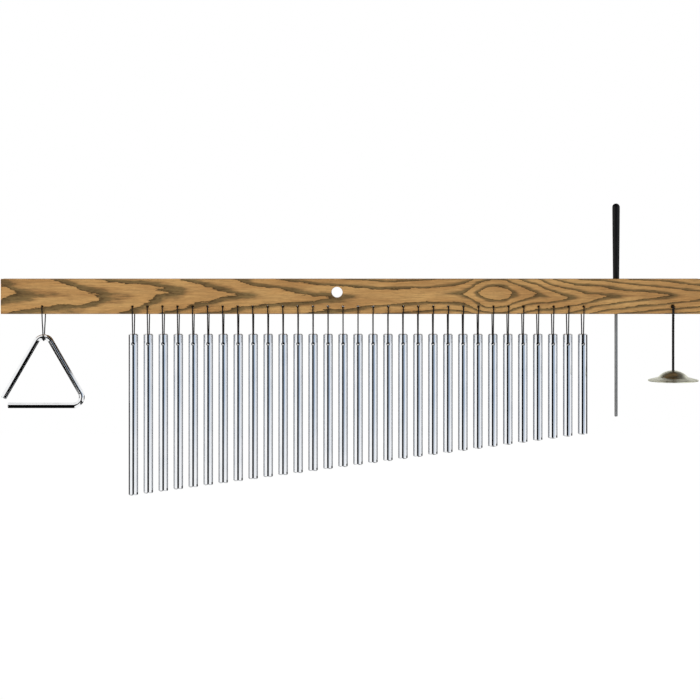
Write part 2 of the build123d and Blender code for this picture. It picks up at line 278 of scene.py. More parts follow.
    def ring_field(self, tree: bpy.types.NodeTree, place: bpy.types.NodeSocket) -> bpy.types.NodeSocket:
        """Number the year rings at each point of the board, with the heart of the tree behind it.

        Args:
            tree: Node tree to build in.
            place: Place in millimetres.

        Returns:
            Socket of the ring's number, which falls towards the heart.
        """
        axes = add_node(tree, "SeparateXYZ", {0: place}).outputs
        share = add_node(tree, "MapRange", {"Value": axes[0], 1: self.left,
                                            2: self.left + self.length}).outputs[0]
        ridge = add_node(tree, "FloatCurve", {"Value": share}, points=self.ridge_rings).outputs[0]
        height = add_node(tree, "FloatCurve", {"Value": share}, points=self.ridge_heights).outputs[0]
        level = add_node(tree, "MapRange", {"Value": height, 3: self.ridge_low,
                                            4: self.ridge_high}).outputs[0]
        aside = add_node(tree, "Math", {0: axes[2], 1: level}, operation="SUBTRACT").outputs[0]
        aside = add_node(tree, "Math", {0: aside}, operation="ABSOLUTE").outputs[0]
        aside = add_node(tree, "Math", {0: aside, 1: self.half_height}, operation="DIVIDE").outputs[0]
        aside = add_node(tree, "Math", {0: aside, 1: self.arch_power}, operation="POWER").outputs[0]
        steep = add_node(tree, "MapRange", {"Value": share, 1: self.steep_start, 3: self.steep_left,
                                            4: self.steep_right}).outputs[0]
        lost = add_node(tree, "Math", {0: aside, 1: steep}, operation="MULTIPLY").outputs[0]
        deep = add_node(tree, "MapRange", {"Value": axes[1], 1: -self.half_depth, 2: self.half_depth,
                                           3: self.pattern_mean,
                                           4: self.pattern_mean + self.rings_through}).outputs[0]
        rings = add_node(tree, "Math", {0: ridge, 1: -self.ridge_scale, 2: lost},
                         operation="MULTIPLY_ADD").outputs[0]
        rings = add_node(tree, "Math", {0: rings, 1: deep}, operation="SUBTRACT").outputs[0]
        wave = grain(tree, place, self.wave_size, 2.0, 1.0)
        rings = add_node(tree, "Math", {0: wave, 1: self.wave_rings, 2: rings},
                         operation="MULTIPLY_ADD").outputs[0]
        ragged = grain(tree, place, self.ragged_size, 2.0, 2.0)
        return add_node(tree, "Math", {0: ragged, 1: self.ragged_rings, 2: rings},
                        operation="MULTIPLY_ADD").outputs[0]

    def pores(self, tree: bpy.types.NodeTree, place: bpy.types.NodeSocket,
              phase: bpy.types.NodeSocket) -> bpy.types.NodeSocket:
        """Give the strength of the open pores, dense in the earlywood and rare in the latewood.

        Args:
            tree: Node tree to build in.
            place: Place in millimetres.
            phase: Share of the way through a ring.

        Returns:
            Socket of the pores' strength, from 0 to 1.
        """
        dashes = grain(tree, place, self.pore_size, 2.0, 6.0)
        marks = add_node(tree, "MapRange", {"Value": dashes, 1: 0.52, 2: 0.64}).outputs[0]
        early = add_node(tree, "MapRange", {"Value": phase, 1: 0.0, 2: self.fade, 3: 0.85,
                                            4: 0.16}).outputs[0]
        return add_node(tree, "Math", {0: marks, 1: early}, operation="MULTIPLY").outputs[0]

    def edge(self, tree: bpy.types.NodeTree, place: bpy.types.NodeSocket) -> bpy.types.NodeSocket:
        """Give the strength of the darker arrises, about 1 mm wide and uneven along the board.

        Args:
            tree: Node tree to build in.
            place: Place in millimetres.

        Returns:
            Socket of the darkening's strength, from 0 to 0.5.
        """
        axes = add_node(tree, "SeparateXYZ", {0: place}).outputs
        up = add_node(tree, "Math", {0: axes[2], 1: self.middle}, operation="SUBTRACT").outputs[0]
        reach = [add_node(tree, "Math", {0: side}, operation="ABSOLUTE").outputs[0]
                 for side in (up, axes[1])]
        gaps = [add_node(tree, "Math", {0: half, 1: side}, operation="SUBTRACT").outputs[0]
                for half, side in zip((self.half_height, self.half_depth), reach)]
        inward = add_node(tree, "Math", {0: gaps[0], 1: gaps[1]}, operation="MAXIMUM").outputs[0]
        near = add_node(tree, "MapRange", {"Value": inward, 1: 0.3, 2: 1.4, 3: 0.5, 4: 0.0}).outputs[0]
        uneven = grain(tree, place, self.edge_stretch_size, 2.0, 13.0)
        kept = add_node(tree, "MapRange", {"Value": uneven, 1: 0.42, 2: 0.6}).outputs[0]
        return add_node(tree, "Math", {0: near, 1: kept}, operation="MULTIPLY").outputs[0]


class Lay(Enum):
    """Which way the marks of making run on a metal rod, as the size of one mark along X, Y and Z in mm."""

    DRAWN_UPRIGHT = (0.5, 0.5, 40.0)
    BUFFED_ALL_WAYS = (3.0, 3.0, 3.0)
    TURNED_LEVEL = (6.0, 6.0, 0.4)


@dataclass(frozen=True)
class PaintedShadeHoleRow:
    """A row of cross holes, front to back, whose walls are painted near-black as painted shade.

    Args:
        first: Place of the first hole along the row in millimetres.
        pitch: Distance between two holes in millimetres.
        level: Height of the holes' axes in millimetres.
        radius: Radius of a hole's mouth in millimetres.
        colour: Colour of the painted shade on the walls.
    """

    first: float
    pitch: float
    level: float
    radius: float
    # Near-black painted shade for the holes' walls.
    colour: str = "#0B0A09"

    def share(self, tree: bpy.types.NodeTree, place: bpy.types.NodeSocket) -> bpy.types.NodeSocket:
        """Tell the inside of the holes from the rest.

        Args:
            tree: Node tree to build in.
            place: Place in millimetres.

        Returns:
            Socket that is 1 inside the holes and 0 elsewhere.
        """
        axes = add_node(tree, "SeparateXYZ", {0: place}).outputs
        start = add_node(tree, "Math", {0: axes[0], 1: self.first - self.pitch / 2}, operation="SUBTRACT")
        within = add_node(tree, "Math", {0: start.outputs[0], 1: self.pitch}, operation="FLOORED_MODULO")
        aside = add_node(tree, "Math", {0: within.outputs[0], 1: self.pitch / 2}, operation="SUBTRACT")
        up = add_node(tree, "Math", {0: axes[2], 1: self.level}, operation="SUBTRACT")
        offset = add_node(tree, "CombineXYZ", {0: aside.outputs[0], 2: up.outputs[0]})
        away = add_node(tree, "VectorMath", {0: offset.outputs[0]}, operation="LENGTH").outputs["Value"]
        return add_node(tree, "Math", {0: away, 1: self.radius}, operation="LESS_THAN").outputs[0]


@dataclass(frozen=True)
class Metal:
    """A bare or plated metal: its colour, how smooth it is and the marks that its making left.

    Args:
        name: Common name of the metal and how its surface was made.
        colour: What it reflects, face on.
        smooth: Roughness of its cleanest patches.
        dull: Roughness of its handled patches.
        lay: Direction and size of the marks.
        relief: Depth of the marks in millimetres.
        patch: Size of a handled patch in millimetres.
        stain: What the handled patches reflect.
        holes: Cross holes whose walls are painted near-black as painted shade.
    """

    name: str
    colour: str
    smooth: float
    dull: float
    lay: Lay
    relief: float
    patch: float
    stain: str
    holes: PaintedShadeHoleRow | None = None

    def material(self) -> bpy.types.Material:
        """Build the metal: an even tone with a trace of tarnish, and roughness in soft patches.

        Returns:
            The new material.
        """
        material, tree, shader = new_surface(self.name)
        place = place_in_mm(tree)
        handled = grain(tree, place, (self.patch, self.patch, 1.6 * self.patch), 3.0, 5.0)
        marks = grain(tree, place, self.lay.value, 2.0, 3.0)
        blur = add_node(tree, "Math", {0: marks, 1: 0.25, 2: handled}, operation="MULTIPLY_ADD").outputs[0]
        rough = add_node(tree, "MapRange", {"Value": blur, 1: 0.45, 2: 0.85, 3: self.smooth, 4: self.dull})
        stain = add_node(tree, "MapRange", {"Value": handled, 1: 0.45, 2: 0.75, 3: 0.0, 4: 0.6}).outputs[0]
        tone = add_node(tree, "Mix", {0: stain, 6: linear(self.colour), 7: linear(self.stain)},
                        data_type="RGBA").outputs[2]
        bare: float | bpy.types.NodeSocket = 1.0
        if self.holes:
            # Painted shade: inside the cross holes the metal is painted near-black and made non-metallic.
            black = self.holes.share(tree, place)
            tone = add_node(tree, "Mix", {0: black, 6: tone, 7: linear(self.holes.colour)},
                            data_type="RGBA").outputs[2]
            bare = add_node(tree, "Math", {0: 1.0, 1: black}, operation="SUBTRACT").outputs[0]
        bump = add_node(tree, "Bump", {"Height": marks, "Strength": 0.2, "Distance": self.relief * MM})
        fill(tree, shader, {"Base Color": tone, "Roughness": rough.outputs[0], "Normal": bump.outputs[0],
                            "Metallic": bare})
        return material


# Bar-stock aluminium, drawn and mirror-buffed: hard bright and dark bands down each bar, slightly blue.
# The bars' cross holes get painted shade on their walls.
POLISHED_ALUMINIUM = Metal("mirror_buffed_aluminium", "#F7F8FA", 0.03, 0.07, Lay.DRAWN_UPRIGHT, 0.0003,
                           14.0, "#E3E7EC", PaintedShadeHoleRow(FIRST_BAR, BAR_PITCH, -51.6, 1.8))
# Steel rod, bent and chrome plated: nearly a mirror, neutral, with faint scuffs.
CHROMED_STEEL = Metal("chrome_plated_steel", "#F4F5F6", 0.05, 0.09, Lay.BUFFED_ALL_WAYS, 0.0002,
                      9.0, "#E2E3E5")
# Bright-drawn steel rod, left bare: an even satin grey with long fine lines.
DRAWN_STEEL = Metal("bright_drawn_steel", "#A4A4A3", 0.30, 0.42, Lay.DRAWN_UPRIGHT, 0.01,
                    12.0, "#8E8D8B")
# Bell bronze, cast, turned and left to dull: pale olive grey towards the light, with rings of the tool.
TURNED_BRONZE = Metal("turned_bell_bronze", "#E2E2CE", 0.36, 0.46, Lay.TURNED_LEVEL, 0.01,
                      7.0, "#C6C5AC")


@dataclass(frozen=True)
class DippedVinyl:
    """Black vinyl sleeve, dip-moulded on its rod: deep black, a soft gloss and a slightly uneven skin.

    Attributes:
        name: Common name of the vinyl and how its surface was made.
        colour: Its black.
        rubbed: The same where hands have rubbed it.
        rub_size: Size of a rubbed patch in millimetres.
        swell_size: Size of a swell of the skin in millimetres.
        swell_depth: Depth of the swells in millimetres.
    """

    name: str = "dip_moulded_black_vinyl"
    colour: str = "#060606"
    rubbed: str = "#0E0E0F"
    rub_size: Point = (5.0, 5.0, 14.0)
    swell_size: Point = (2.2, 2.2, 6.0)
    swell_depth: float = 0.08

    def material(self) -> bpy.types.Material:
        """Build the vinyl: a black that greys where hands rub it, and a skin with a low swell.

        Returns:
            The new material.
        """
        material, tree, shader = new_surface(self.name)
        place = place_in_mm(tree)
        rub = grain(tree, place, self.rub_size, 3.0, 8.0)
        swell = grain(tree, place, self.swell_size, 2.0, 2.0)
        share = add_node(tree, "MapRange", {"Value": rub, 1: 0.4, 2: 0.7}).outputs[0]
        tone = add_node(tree, "Mix", {0: share, 6: linear(self.colour), 7: linear(self.rubbed)},
                        data_type="RGBA").outputs[2]
        rough = add_node(tree, "MapRange", {"Value": rub, 1: 0.3, 2: 0.7, 3: 0.36, 4: 0.52}).outputs[0]
        bump = add_node(tree, "Bump", {"Height": swell, "Strength": 0.3, "Distance": self.swell_depth * MM})
        fill(tree, shader, {"Base Color": tone, "Roughness": rough, "Normal": bump.outputs[0],
                            "Specular IOR Level": 0.25})
        return material


@dataclass(frozen=True)
class BraidedNylon:
    """Black nylon cord, plaited and waxed: crossing strands whose backs carry a paler painted sheen.

    The strands are drawn as coarse as a third of the cord, because the real ones are too fine to show.

    Attributes:
        name: Common name of the cord and how it was made.
        colour: Its black between the strands.
        dark_edge_and_sheen: The paler black painted on the strands' backs as sheen.
        strand_depth: Height of the strands in millimetres.
    """

    name: str = "braided_black_nylon"
    colour: str = "#0A0807"
    dark_edge_and_sheen: str = "#1A1411"
    strand_depth: float = 0.06

    def material(self) -> bpy.types.Material:
        """Build the cord: two sets of strands that cross along the tube, from its own lengthwise map.

        Returns:
            The new material.
        """
        material, tree, shader = new_surface(self.name)
        along = add_node(tree, "UVMap", uv_map=CORD_MAP)
        axes = add_node(tree, "SeparateXYZ", {0: along.outputs[0]}).outputs
        lays = []
        for sign in (1.0, -1.0):
            turn = add_node(tree, "Math", {0: axes[0], 1: sign, 2: axes[1]},
                            operation="MULTIPLY_ADD").outputs[0]
            turn = add_node(tree, "Math", {0: turn, 1: math.tau}, operation="MULTIPLY").outputs[0]
            lays.append(add_node(tree, "Math", {0: turn}, operation="SINE").outputs[0])
        strand = add_node(tree, "Math", {0: lays[0], 1: lays[1]}, operation="MAXIMUM").outputs[0]
        share = add_node(tree, "MapRange", {"Value": strand, 1: 0.2, 2: 1.0}).outputs[0]
        # Painted sheen: the raised strands are painted a paler black.
        tone = add_node(tree, "Mix", {0: share, 6: linear(self.colour), 7: linear(self.dark_edge_and_sheen)},
                        data_type="RGBA").outputs[2]
        bump = add_node(tree, "Bump", {"Height": strand, "Strength": 0.5,
                                       "Distance": self.strand_depth * MM})
        fill(tree, shader, {"Base Color": tone, "Roughness": 0.55, "Normal": bump.outputs[0],
                            "Specular IOR Level": 0.25})
        return material


@dataclass(frozen=True)
class CordTube:
    """Mesh of a round braided cord along a smooth line.

    Args:
        diameter: Thickness of the cord in millimetres.
        sides: Faces round the cord.
        plait: Length of one crossing of the strands in millimetres.
        strands: Crossings round the cord.
        swell: Share of the radius by which the strands stand proud.
        bearing: Point where the cord carries its load and its braid opens to fill the hole, in millimetres.
        opening: Share of the radius by which the braid opens there.
        opening_reach: How far from there the braid is open, in millimetres.
        least_step: Points of the line nearer to each other than this, in metres, count as one.
    """

    diameter: float
    sides: int = 16
    plait: float = 1.5
    strands: int = 4
    swell: float = 0.05
    bearing: Point | None = None
    opening: float = 0.8
    opening_reach: float = 3.2
    least_step: float = 1e-7

    def smooth_line(self, points: Sequence[Point], finesse: int) -> list[Vector]:
        """Read the points of a smooth line from a spline with the given control points.

        Args:
            points: Control points in millimetres.
            finesse: Points read for each span.

        Returns:
            Points along the line in metres.
        """
        curve = bpy.data.curves.new("route", "CURVE")
        curve.dimensions = "3D"
        curve.resolution_u = finesse
        spline = curve.splines.new("NURBS")
        spline.points.add(len(points) - 1)
        for control, point in zip(spline.points, points):
            control.co = (*(MM * c for c in point), 1.0)
        spline.order_u = 3
        spline.use_endpoint_u = True
        holder = bpy.data.objects.new("route", curve)
        bpy.context.scene.collection.objects.link(holder)
        bpy.context.view_layer.update()
        seen = holder.evaluated_get(bpy.context.evaluated_depsgraph_get())
        line_mesh = bpy.data.meshes.new_from_object(seen)
        line = [vertex.co.copy() for vertex in line_mesh.vertices]
        bpy.data.meshes.remove(line_mesh)
        bpy.data.objects.remove(holder)
        bpy.data.curves.remove(curve)
        return [here for here, before in zip(line, [None, *line])
                if before is None or (here - before).length > self.least_step]

    def opened(self, here: Vector) -> float:
        """Give how far the braid is opened at a point on the cord.

        Args:
            here: The point in metres.

        Returns:
            Share of the radius.
        """
        if self.bearing is None:
            return 0.0
        away = (here - MM * Vector(self.bearing)).length / (MM * self.opening_reach)
        return self.opening * (0.5 + 0.5 * math.cos(math.pi * min(away, 1.0)))

    def mesh(self, name: str, line: Sequence[Vector]) -> bpy.types.Object:
        """Build the tube with its strands and lengthwise map.

        Args:
            name: The piece's name.
            line: Points along the cord in metres.

        Returns:
            The new object, linked to the scene.
        """
        radius = MM * self.diameter / 2
        headings = [(after - before).normalized()
                    for before, after in zip([line[0], *line], [*line[1:], line[-1]])]
        aside = headings[0].orthogonal().normalized()
        vertices: list[Vector] = []
        runs: list[float] = []
        run = 0.0
        for i, (here, heading) in enumerate(zip(line, headings)):
            if i:
                aside.rotate(headings[i - 1].rotation_difference(heading))
                run += (here - line[i - 1]).length
            across = heading.cross(aside)
            thick = radius * (1 + self.opened(here))
            runs.append(run / (MM * self.plait))
            for side in range(self.sides):
                angle = math.tau * side / self.sides
                lump = math.cos(self.strands * angle) * math.cos(math.tau * runs[-1])
                reach = thick * (1 + self.swell * lump)
                vertices.append(here + reach * (math.cos(angle) * aside + math.sin(angle) * across))
        rings = range(len(line) - 1)
        faces = [(self.sides * ring + side, self.sides * ring + (side + 1) % self.sides,
                  self.sides * (ring + 1) + (side + 1) % self.sides, self.sides * (ring + 1) + side)
                 for ring in rings for side in range(self.sides)]
        last = self.sides * (len(line) - 1)
        faces += [tuple(reversed(range(self.sides))), tuple(range(last, last + self.sides))]
        mesh = bpy.data.meshes.new(name)
        mesh.from_pydata(vertices, [], faces)
        mesh.shade_smooth()
        spread = mesh.uv_layers.new(name=CORD_MAP)
        for polygon in mesh.polygons:
            for corner, loop in enumerate(polygon.loop_indices):
                ring, side = divmod(mesh.loops[loop].vertex_index, self.sides)
                seam = side == 0 and corner in (1, 2) and len(polygon.vertices) == 4
                turn = (self.sides if seam else side) / self.sides
                spread.data[loop].uv = (self.strands * turn, runs[ring])
        piece = bpy.data.objects.new(name, mesh)
        bpy.context.scene.collection.objects.link(piece)
        return piece


@dataclass(frozen=True)
class HangingLoop:
    """A loop of thin cord: out of its knot behind the mantle, through the mantle and round what it carries.

    Args:
        name: Ending of the pieces' names.
        x: Place of the hole along the mantle in millimetres.
        body: Body that the loop swings with.
        node: CAD node that it replaces.
        low_points: Control points (y, z) of the lower end, from the front leg to the back leg.
        length: Length of the cord in millimetres. Not used.
        cord: The cord's thickness and braid.
        front_points: Control points (y, z) through the mantle and down its front.
        back_point: Control point (y, z) of the back leg, behind the mantle.
        knot_y: Place of the knot behind the mantle in millimetres.
        knot_top: Height of the knot's top wrap in millimetres.
        knot_bottom: Height of its bottom wrap in millimetres.
        wraps: Turns of the knot round the legs.
        wrap_radius: Radius of a turn in millimetres.
        wrap_points: Control points of a turn.
        tail_reach: Least and most that a tail stands out sideways in millimetres.
        loop_finesse: Points read for each span of the loop.
        knot_finesse: Points read for each span of the knot.
    """

    name: str
    x: float
    body: str
    node: str
    low_points: Outline
    length: float
    cord: CordTube = CordTube(THIN_CORD)
    front_points: Outline = ((12.6, -13.6), (6.5, -14.2), (-6.5, -14.2), (-12.4, -13.9), (-10.6, -20.6),
                             (-9.1, -28.8))
    back_point: tuple[float, float] = (9.3, -28.8)
    knot_y: float = 11.3
    knot_top: float = -16.5
    knot_bottom: float = -18.8
    wraps: int = 3
    wrap_radius: float = 0.96
    wrap_points: int = 8
    tail_reach: tuple[float, float] = (2.2, 3.0)
    loop_finesse: int = 22
    knot_finesse: int = 4

    def route(self) -> list[Point]:
        """Give the control points of the loop from its knot round to its knot again.

        Returns:
            Points in millimetres.
        """
        outline = [(self.knot_y, self.knot_top), *self.front_points, *self.low_points, self.back_point,
                   (self.knot_y, self.knot_bottom)]
        return [(self.x, y, z) for y, z in outline]

    def knot_route(self, draw: random.Random) -> list[Point]:
        """Give the control points of the knot: one tail, the wraps round the legs, the other tail.

        Args:
            draw: Random draws that turn the tails a little.

        Returns:
            Points in millimetres.
        """
        steps = self.wraps * self.wrap_points
        low, high = self.knot_bottom, self.knot_top
        turns = [(math.tau * step / self.wrap_points, low + (high - low) * step / steps)
                 for step in range(steps + 1)]
        coil = [(self.x + self.wrap_radius * math.sin(a), self.knot_y + self.wrap_radius * math.cos(a), z)
                for a, z in turns]
        left, right = draw.uniform(*self.tail_reach), draw.uniform(*self.tail_reach)
        tail_in = [(self.x - left, self.knot_y + 2.6, low - 2.6),
                   (self.x - 1.4, self.knot_y + 1.5, low - 0.7)]
        tail_out = [(self.x + 1.5, self.knot_y + 1.5, high - 0.6),
                    (self.x + right, self.knot_y + 2.5, high - 3.2)]
        return [*tail_in, *coil, *tail_out]

    def build(self, finish: bpy.types.Material, draw: random.Random) -> None:
        """Make the loop and its knot, and let both swing with their body.

        Args:
            finish: Material of the cord.
            draw: Random draws for the tails.
        """
        line = self.cord.smooth_line(self.route(), self.loop_finesse)
        loop = self.cord.mesh(f"loop_{self.name}", line)
        tied = self.cord.smooth_line(self.knot_route(draw), self.knot_finesse)
        knot = self.cord.mesh(f"knot_{self.name}", tied)
        for piece in (loop, knot):
            piece.data.materials.append(finish)
            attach(piece, self.body)
            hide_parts(self.node)
        LOG.info("loop_%s: %d points on %s", self.name, len(line), self.body)


@dataclass(frozen=True)
class CymbalStrand:
    """One thicker cord: from its stopper knot behind the mantle, out in front and down through the cup.

    Attributes:
        x: Place of the strand along the mantle in millimetres.
        y: Place of its hanging run in front of the mantle's middle in millimetres.
        body: Body that the strand swings with.
        node: CAD node that it replaces.
        length: Length of the cord in millimetres. Not used.
        cord: The cord's thickness and braid.
        turn: The same where it is drawn tight in a knot.
        mantle_points: Control points (y, z) from the tail behind the mantle through to its front.
        hanging_heights: Heights of the control points below, down to the tail in the cup.
        back_knot: Middle (y, z) of the knot behind the mantle in millimetres.
        cup_knot_height: Height of the middle of the knot in the cup in millimetres.
        knot_radius: How far a knot reaches from its middle in millimetres.
        knot_lift: Share of that by which its crossings rise over each other.
        knot_points: Control points of a knot.
        strand_finesse: Points read for each span of the strand.
        knot_finesse: Points read for each span of a knot.
    """

    x: float = 334.8
    y: float = -11.0
    body: str = "cymbal_strand"
    node: str = "cymbal_cord"
    length: float = 99.2
    cord: CordTube = CordTube(2.5, plait=2.6, sides=20)
    turn: CordTube = CordTube(2.1, plait=2.6)
    mantle_points: Outline = ((16.8, -14.6), (6.5, -14.6), (-6.5, -14.4), (-13.6, -13.6))
    hanging_heights: tuple[float, ...] = (-24.0, -62.0, -86.6)
    back_knot: tuple[float, float] = (12.05, -14.6)
    cup_knot_height: float = -81.87
    knot_radius: float = 1.9
    knot_lift: float = 0.55
    knot_points: int = 30
    strand_finesse: int = 30
    knot_finesse: int = 4

    def route(self) -> list[Point]:
        """Give the control points of the strand in millimetres."""
        outline = [*self.mantle_points, *((self.y, z) for z in self.hanging_heights)]
        return [(self.x, y, z) for y, z in outline]

    def knot_route(self, centre: Point, lie: Quaternion) -> list[Point]:
        """Give the points of an overhand knot drawn tight round a point.

        Args:
            centre: Middle of the knot in millimetres.
            lie: Turn that lays the knot's axis along the cord.

        Returns:
            Points in millimetres.
        """
        points = []
        for step in range(self.knot_points + 1):
            a = math.tau * step / self.knot_points
            across = self.knot_radius * (math.sin(a) + 2 * math.sin(2 * a)) / 3
            along = self.knot_radius * (math.cos(a) - 2 * math.cos(2 * a)) / 3
            spot = Vector((across, along, -self.knot_lift * self.knot_radius * math.sin(3 * a)))
            points.append(tuple(Vector(centre) + lie @ spot))
        return points

    def build(self, finish: bpy.types.Material) -> None:
        """Make the strand and its two knots, and let them swing with the strand's body.

        Args:
            finish: Material of the cord.
        """
        line = self.cord.smooth_line(self.route(), self.strand_finesse)
        strand = self.cord.mesh("strand_cymbal", line)
        flat = Quaternion((1, 0, 0), math.radians(90))
        places = (("knot_cymbal_cup", (self.x, self.y, self.cup_knot_height), Quaternion()),
                  ("knot_cymbal_back", (self.x, *self.back_knot), flat))
        tied = {name: self.turn.smooth_line(self.knot_route(centre, lie), self.knot_finesse)
                for name, centre, lie in places}
        knots = [self.turn.mesh(name, points) for name, points in tied.items()]
        for piece in (strand, *knots):
            piece.data.materials.append(finish)
            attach(piece, self.body)
            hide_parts(self.node)
        LOG.info("strand_cymbal: %d points on %s", len(line), self.body)


@dataclass(frozen=True)
class CordSet:
    """All the cords: a loop for each bar, the triangle's loop and the cymbal's strand.

    Attributes:
        bar_low: Control points (y, z) of a bar loop's lower end, through the bar's cross hole.
        bar_bearing: Place (y, z) where the bar hangs on its loop.
        bar_loop_length: Length of a bar's loop in millimetres.
        triangle_x: Place of the triangle's loop along the mantle in millimetres.
        triangle_low: Control points (y, z) of the triangle loop's lower end, round its rod.
        triangle_loop_length: Length of the triangle's loop in millimetres.
    """

    bar_low: Outline = ((-7.0, -43.0), (-6.7, -51.3), (0.0, -51.5), (6.7, -51.3), (7.0, -43.0))
    bar_bearing: tuple[float, float] = (0.0, -51.45)
    bar_loop_length: float = 105.0
    triangle_x: float = -293.9
    triangle_low: Outline = ((-5.6, -38.0), (-4.0, -48.5), (4.0, -48.5), (5.6, -38.0))
    triangle_loop_length: float = 94.5

    def node_of(self, number: int) -> str:
        """Name the CAD node that holds the loop of a bar."""
        return {1: "first_bar_cord", BAR_COUNT: "last_bar_cord"}.get(number, "inner_bar_cords")

    def build(self, finish: bpy.types.Material) -> None:
        """Make every cord in the same material.

        Args:
            finish: Material of the cords.
        """
        draw = random.Random(KNOT_SEED)
        for number in range(1, BAR_COUNT + 1):
            x = FIRST_BAR + BAR_PITCH * (number - 1)
            cord = CordTube(THIN_CORD, bearing=(x, *self.bar_bearing))
            HangingLoop(f"bar_{number:02d}", x, f"chime_bar_{number:02d}", self.node_of(number),
                        self.bar_low, self.bar_loop_length, cord).build(finish, draw)
        HangingLoop("triangle", self.triangle_x, "triangle_loop", "triangle_cord", self.triangle_low,
                    self.triangle_loop_length).build(finish, draw)
        CymbalStrand().build(finish)


@dataclass(frozen=True)
class RigidPieces:
    """The pieces whose solids have their final shape and only take a finish."""

    bar_count: int = BAR_COUNT

    def dress(self) -> None:
        """Give each solid its material."""
        finishes = {
            "mantle": FlatSawnAsh().material(),
            "triangle": CHROMED_STEEL.material(),
            "finger_cymbal": TURNED_BRONZE.material(),
            "beater_rod": DRAWN_STEEL.material(),
            "beater_grip": DippedVinyl().material(),
        }
        aluminium = POLISHED_ALUMINIUM.material()
        for number in range(1, self.bar_count + 1):
            finishes[f"chime_bar_{number:02d}"] = aluminium
        for node, finish in finishes.items():
            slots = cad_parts[node].data.materials
            slots.clear()
            slots.append(finish)
            LOG.info("%s: %s", node, finish.name)


class CardTone(Enum):
    """A card's cloth, its tone in polished metal and the heights in mm where it rises out of white."""

    BLACK = ("black_flag_cloth", "#050505", -1200.0, -1150.0)
    GREY = ("grey_flag_cloth", "#222224", -1200.0, -1150.0)
    PALE = ("pale_blue_grey_card", "#B2C2D5", -560.0, -330.0)


